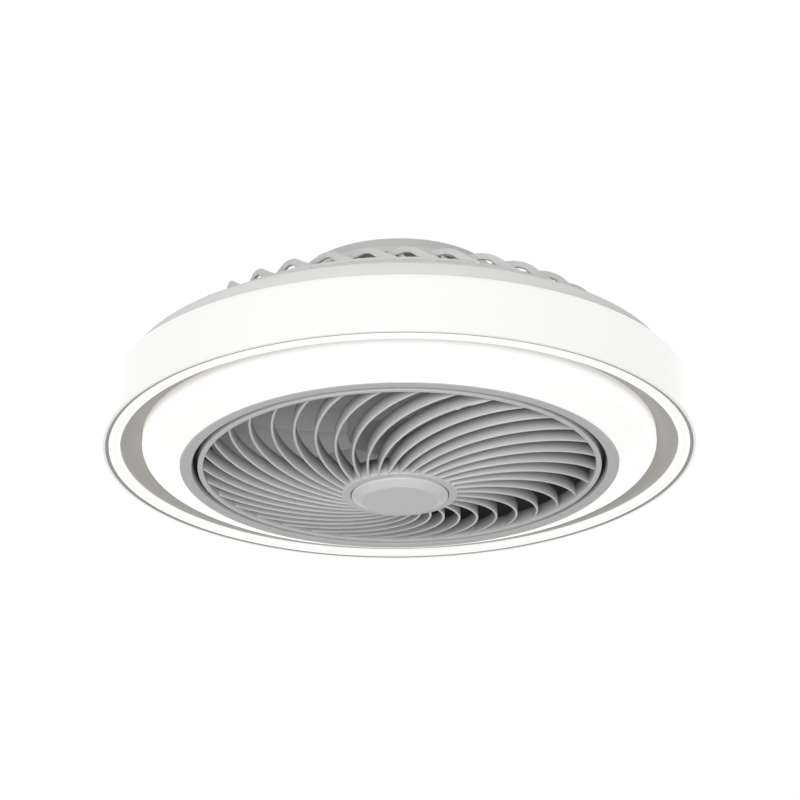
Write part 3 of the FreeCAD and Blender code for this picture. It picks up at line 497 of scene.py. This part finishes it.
# Painted shade: the lip turns to the darker edge colour from just below its ledge upwards.
opal_lip = glowing_finish("opal_lip", opal_white, opal_edge_shade, glow=1.65,
                          plain_below=lip_ledge - 0.0004, painted_shade_above=lip_ledge + 0.0016)
fitted_piece(turned([
    (lip_edge, lip_base, 0), (lip_edge, lip_ledge, 0), (lip_radius, lip_ledge, 0), (lip_radius, lip_top, 0),
    (lip_inner, lip_top, 0), (lip_inner, lip_base, 0.0006), lip_crown,
]), "lip_ring", opal_lip)
dish_radius, dish_base, dish_top = reach_of("inner_shade")
dish_wall = 0.0022
dish_inner = 0.1854
dish_ledge = dish_base + 0.0024
dish_seat = 0.1778
dish_floor = 0.1913
dish_shoulder = dish_base + 0.0121
dish_inner_shoulder = dish_shoulder + 0.0015
dish_round = 0.010
# Painted shadow: the dish's collar darkens where it rises into the groove ring.
opal_dish = glowing_finish("opal_dish", opal_white, opal_shadow, glow=1.68,
                           plain_below=-0.159, painted_shade_above=-0.152)
fitted_piece(turned([
    (dish_inner, dish_base, 0), (dish_radius, dish_shoulder, dish_round), (dish_radius, dish_top, 0),
    (dish_radius - dish_wall, dish_top, 0),
    (dish_radius - dish_wall, dish_inner_shoulder, dish_round - dish_wall),
    (dish_floor, dish_ledge + dish_wall, 0), (dish_seat, dish_ledge + dish_wall, 0),
    (dish_seat, dish_ledge, 0), (dish_inner, dish_ledge, 0),
]), "inner_shade", opal_dish)

# Trim ring: a narrow satin grey band between the shade's edge and the lip, clipped on the ledge of
# the lip.
trim_paint = skin_finish("trim_paint", (0.46, 0.45, 0.42), (0.43, 0.42, 0.39), cloud=20.0, grain=900.0,
                         roughness=0.4)
trim_radius, trim_base, trim_top = reach_of("trim_ring")
trim_inner = trim_radius - 0.0029
trim_edge = 0.0003
fitted_piece(turned([
    (trim_inner, trim_base + 0.0008, trim_edge), (trim_radius, trim_base, trim_edge),
    (trim_radius, trim_top, 0), (trim_inner, trim_top, 0),
]), "trim_ring", trim_paint)

# Bezel: the flat grey collar round the air outlet, moulded with six screw posts up to the tray and
# four ledges that the grille's lugs turn over.
bezel_radius, bezel_base, bezel_top = reach_of("bezel_ring")


def arc_block(inner, outer, low, high, middle, span):
    """Part of a ring, from radius to radius and height to height, over a span about its middle."""
    shape = bmesh.new()
    section = [shape.verts.new((radius, 0, height))
               for radius, height, rounding in ring_outline(inner, outer, low, high)]
    shape.faces.new(section)
    bmesh.ops.rotate(shape, verts=shape.verts, cent=(0, 0, 0),
                     matrix=Matrix.Rotation(math.radians(middle - span / 2), 3, "Z"))
    bmesh.ops.spin(shape, geom=shape.verts[:] + shape.edges[:] + shape.faces[:], cent=(0, 0, 0),
                   axis=fan_axis, angle=math.radians(span), steps=round(span))
    bmesh.ops.recalc_face_normals(shape, faces=shape.faces)
    return shape


def depth_group():
    """A mask that grows with the height above a cone: its slope, its height at the axis, its reach."""
    group, start, end = node_group("depth", [
        ("Coordinates", "Vector"), ("Slope", "Float"), ("Apex", "Float"), ("Reach", "Float"),
    ], [("Mask", "Float")])
    nodes = group.nodes
    link = group.links.new
    parts = nodes.new("ShaderNodeSeparateXYZ")
    link(start.outputs["Coordinates"], parts.inputs["Vector"])
    plan = nodes.new("ShaderNodeCombineXYZ")
    link(parts.outputs["X"], plan.inputs["X"])
    link(parts.outputs["Y"], plan.inputs["Y"])
    radius = nodes.new("ShaderNodeVectorMath")
    radius.operation = "LENGTH"
    link(plan.outputs["Vector"], radius.inputs[0])
    cone = nodes.new("ShaderNodeMath")
    cone.operation = "MULTIPLY_ADD"
    link(radius.outputs["Value"], cone.inputs[0])
    link(start.outputs["Slope"], cone.inputs[1])
    link(start.outputs["Apex"], cone.inputs[2])
    above = nodes.new("ShaderNodeMath")
    above.operation = "SUBTRACT"
    link(parts.outputs["Z"], above.inputs[0])
    link(cone.outputs["Value"], above.inputs[1])
    share = nodes.new("ShaderNodeMath")
    share.operation = "DIVIDE"
    share.use_clamp = True
    link(above.outputs["Value"], share.inputs[0])
    link(start.outputs["Reach"], share.inputs[1])
    link(share.outputs["Value"], end.inputs["Mask"])
    return group


# The depth mask places painted shade, darker the deeper a point lies inside a moulding.
depth = depth_group()


def painted_shade_inside(material, deep_colour, slope, apex, reach):
    """Paints shade into a skin finish: darker towards the inside of the moulding, where shadow falls."""
    tree = material.node_tree
    shader = tree.nodes["Principled BSDF"]
    plain = shader.inputs["Base Color"].links[0].from_socket
    coordinates = next(node for node in tree.nodes if node.type == "TEX_COORD").outputs["Object"]
    mask = tree.nodes.new("ShaderNodeGroup")
    mask.node_tree = depth
    mask.inputs["Slope"].default_value = slope
    mask.inputs["Apex"].default_value = apex
    mask.inputs["Reach"].default_value = reach
    tree.links.new(coordinates, mask.inputs["Coordinates"])
    blend = tree.nodes.new("ShaderNodeMix")
    blend.data_type = "RGBA"
    blend.inputs["B"].default_value = (*deep_colour, 1.0)
    tree.links.new(mask.outputs["Mask"], blend.inputs["Factor"])
    tree.links.new(plain, blend.inputs["A"])
    tree.links.new(blend.outputs["Result"], shader.inputs["Base Color"])
    return material


bezel_skin = skin_finish("bezel_plastic", (0.71, 0.71, 0.71), (0.68, 0.68, 0.68), cloud=12.0, grain=850.0,
                         roughness=0.42)
# Painted shade: within 5 mm above its face the bezel turns almost black, on the inner flank, the rebate and
# everything higher.
bezel_plastic = painted_shade_inside(bezel_skin, (0.05, 0.05, 0.05), slope=0.0, apex=bezel_base + 0.0007, reach=0.005)
bezel_inner = 0.1754
bezel_throat = 0.1726
bezel_neck = 0.1772
collar_top = bezel_base + 0.0023
rebate_radius = bezel_radius - 0.0008
rebate_top = bezel_base + 0.0012
bezel_collar = turned([
    (bezel_inner, bezel_base, 0.0006), (rebate_radius, bezel_base, 0.0004), (rebate_radius, rebate_top, 0),
    (bezel_radius, rebate_top, 0), (bezel_radius, collar_top, 0), (bezel_neck, collar_top, 0),
    (bezel_neck, seal_base, 0), (bezel_throat, seal_base, 0)])
post_count = 6
post_radius = 0.0032
post_circle = 0.181
post_turn = Matrix.Rotation(math.radians(15), 4, "Z")
post_place = Matrix.Translation((post_circle, 0, (collar_top + bezel_top) / 2))
post = bmesh.new()
bmesh.ops.create_cone(post, cap_ends=True, segments=24, radius1=post_radius, radius2=post_radius,
                      depth=bezel_top - collar_top, matrix=post_turn @ post_place)
lug_count = 4
lug_middle = 45
ledge_inner = 0.1708
ledge_outer = 0.1763
ledge_base = seal_base - 0.0022
ledge_span = 13
ledge = arc_block(ledge_inner, ledge_outer, ledge_base, seal_base, lug_middle, ledge_span)
fitted_piece(joined(bezel_collar, ringed(post, post_count), ringed(ledge, lug_count)),
             "bezel_ring", bezel_plastic)

# Grille: one grey moulding of a ring with bayonet lugs, a hub cup and swept upright fins whose
# lower edges are rounded. It turns a few degrees to let go of the bezel.
grille_skin = skin_finish("grille_plastic", (0.75, 0.75, 0.755), (0.72, 0.72, 0.725), cloud=12.0,
                          grain=850.0, roughness=0.33)
# Painted shade: the grille darkens with height above a cone under the fins, as shadow falls between the fins
# and in the hub cup.
fin_slope = 0.1865
fin_apex = -0.2055
grille_plastic = painted_shade_inside(grille_skin, (0.13, 0.13, 0.13), slope=fin_slope, apex=fin_apex, reach=0.0115)
grille_radius, grille_base, grille_top = reach_of("grille")
fin_count = 34
fin_thickness = 0.0022
fin_edge = 0.00105
fin_cuts = 28
fin_sag = 0.0005
fin_root = 0.04725
fin_root_top = grille_base + 0.014
fin_end = 0.1679
fin_end_base = -0.1738
fin_end_top = -0.1638
hub_inner = 0.046
fin_path = [(hub_inner, math.radians(-6.3)), (0.10705, math.radians(19.3)),
            (grille_radius, math.radians(46.4))]
fin = swept(plate([
    (fin_root, grille_base, 0), (fin_end, fin_end_base, 0), (fin_end, fin_end_top, 0),
    (fin_root, fin_root_top, 0),
], fin_thickness, fin_edge, fin_cuts), fin_path)
for vertex in fin.verts:
    share = (vertex.co.xy.length - fin_root) / (fin_end - fin_root)
    vertex.co.z -= fin_sag * 4 * share * (1 - share)
outlet_ring = turned(ring_outline(grille_radius - 0.0046, grille_radius, bezel_base + 0.0002, grille_top,
                                  low_round=0.0008, high_round=0.0004))
hub_radius = 0.0485
hub_top = grille_base + 0.015
hub_bore = 0.0093
cap_seat = grille_base + 0.0013
cap_gap_inner = 0.0402
cap_gap_outer = 0.0415
cap_gap_top = cap_seat + 0.0016
hub_floor = cap_seat + 0.0025
hub_cup = turned([
    (hub_bore, cap_seat, 0), (cap_gap_inner, cap_seat, 0), (cap_gap_inner, cap_gap_top, 0),
    (cap_gap_outer, cap_gap_top, 0), (cap_gap_outer, grille_base, 0.0004), (hub_radius, grille_base, 0.0008),
    (hub_radius, hub_top, 0), (hub_inner, hub_top, 0), (hub_inner, hub_floor, 0), (hub_bore, hub_floor, 0)])
lug_reach = grille_radius + 0.0019
lug_span = 9
lug = arc_block(fin_end, lug_reach, seal_base, grille_top, lug_middle, lug_span)
fitted_piece(joined(outlet_ring, hub_cup, ringed(fin, fin_count), ringed(lug, lug_count)),
             "grille", grille_plastic)

# Grille cap: a grey moulded disc with a bevelled rim, whose barbed stem clips into the hub.
# It hides the middle of the grille.
cap_plastic = skin_finish("cap_plastic", (0.80, 0.80, 0.80), (0.78, 0.78, 0.78), cloud=12.0, grain=850.0,
                          roughness=0.3)
cap_radius, cap_base, cap_top = reach_of("grille_cap")
cap_face = 0.032
cap_shoulder = cap_base + 0.0042
stem_radius = 0.009
stem_bore = 0.007
barb_radius = 0.0102
barb_base = cap_seat + 0.0028
fitted_piece(turned([
    (0, cap_base, 0), (cap_face, cap_base, 0.001), (cap_radius, cap_shoulder, 0.0006),
    (cap_radius, cap_seat, 0), (stem_radius, cap_seat, 0), (stem_radius, barb_base, 0),
    (barb_radius, barb_base, 0), (stem_radius, cap_top, 0), (stem_bore, cap_top, 0),
    (stem_bore, cap_seat, 0), (0, cap_seat, 0),
]), "grille_cap", cap_plastic)

# Studio: a pale floor far below the fan, soft light all round that is dimmer from above, a white
# backdrop, and a broad lamp in front, a little below the fan.
floor_drop = 2.3
floor_reach = 8.0
floor_lift = 0.15
white = (1.0, 1.0, 1.0, 1.0)
floor_shape = bmesh.new()
bmesh.ops.create_grid(floor_shape, x_segments=2, y_segments=2, size=floor_reach,
                      matrix=Matrix.Translation((0, 0, -floor_drop)))
floor_mesh = bpy.data.meshes.new("floor")
floor_shape.to_mesh(floor_mesh)
floor_shape.free()
floor_paint = skin_finish("floor_paint", (0.80, 0.80, 0.79), (0.77, 0.77, 0.76), cloud=1.0, grain=40.0,
                          roughness=0.8)
floor_nodes = floor_paint.node_tree.nodes
floor_link = floor_paint.node_tree.links.new
floor_rays = floor_nodes.new("ShaderNodeLightPath")
paler_to_camera = floor_nodes.new("ShaderNodeMath")
paler_to_camera.operation = "MULTIPLY"
paler_to_camera.inputs[1].default_value = floor_lift
floor_link(floor_rays.outputs["Is Camera Ray"], paler_to_camera.inputs[0])
floor_shader = floor_nodes["Principled BSDF"]
floor_shader.inputs["Emission Color"].default_value = white
floor_link(paler_to_camera.outputs["Value"], floor_shader.inputs["Emission Strength"])
floor_mesh.materials.append(floor_paint)
floor = bpy.data.objects.new("floor", floor_mesh)
bpy.context.scene.collection.objects.link(floor)

light_around = 0.72
light_above = 0.42
world = bpy.data.worlds.new("studio")
bpy.context.scene.world = world
world.use_nodes = True
world_nodes = world.node_tree.nodes
world_link = world.node_tree.links.new
surround = world_nodes["Background"]
surround.inputs["Color"].default_value = white
sky = world_nodes.new("ShaderNodeSeparateXYZ")
world_link(world_nodes.new("ShaderNodeTexCoord").outputs["Generated"], sky.inputs["Vector"])
dimmed_above = world_nodes.new("ShaderNodeMapRange")
dimmed_above.inputs["From Min"].default_value = 0.2
dimmed_above.inputs["From Max"].default_value = 0.8
dimmed_above.inputs["To Min"].default_value = light_around
dimmed_above.inputs["To Max"].default_value = light_above
world_link(sky.outputs["Z"], dimmed_above.inputs["Value"])
world_link(dimmed_above.outputs["Result"], surround.inputs["Strength"])
backdrop = world_nodes.new("ShaderNodeBackground")
backdrop.inputs["Color"].default_value = white
backdrop.inputs["Strength"].default_value = 1.0
rays = world_nodes.new("ShaderNodeLightPath")
sees_white = rays.outputs["Is Camera Ray"]
for ray in ("Is Glossy Ray", "Is Transmission Ray"):
    either = world_nodes.new("ShaderNodeMath")
    either.operation = "MAXIMUM"
    world_link(sees_white, either.inputs[0])
    world_link(rays.outputs[ray], either.inputs[1])
    sees_white = either.outputs["Value"]
seen = world_nodes.new("ShaderNodeMixShader")
world_link(sees_white, seen.inputs["Fac"])
world_link(surround.outputs["Background"], seen.inputs[1])
world_link(backdrop.outputs["Background"], seen.inputs[2])
world_link(seen.outputs["Shader"], world_nodes["World Output"].inputs["Surface"])

lamp_place = Vector((-0.3, -2.3, -0.85))
lamp_target = Vector((0, 0, -0.14))
lamp = bpy.data.lights.new("front_lamp", "AREA")
lamp.size = 1.0
lamp.energy = 25.0
front_lamp = bpy.data.objects.new("front_lamp", lamp)
front_lamp.location = lamp_place
front_lamp.rotation_euler = (lamp_target - lamp_place).to_track_quat("-Z", "Y").to_euler()
bpy.context.scene.collection.objects.link(front_lamp)

# Camera: a long lens below the fan and in front of it, at the photograph's viewing angle, which
# was found from the ellipses of the rims.
photo_width = 800.0
shift_in_pixels = 1.04
camera = bpy.data.cameras.new("camera")
camera.sensor_width = 36.0
camera.lens = 108.0
camera.shift_x = shift_in_pixels / photo_width
camera.clip_end = 60.0
viewer = bpy.data.objects.new("camera", camera)
viewpoint = (0, -1.8788, -0.9366)
looking_up = math.radians(23.75)
roll = math.radians(-0.54)
viewer.matrix_world = (Matrix.Translation(viewpoint)
                       @ Matrix.Rotation(math.pi / 2 + looking_up, 4, "X")
                       @ Matrix.Rotation(roll, 4, "Z"))
bpy.context.scene.collection.objects.link(viewer)
bpy.context.scene.camera = viewer
bpy.context.scene.view_settings.view_transform = "Standard"
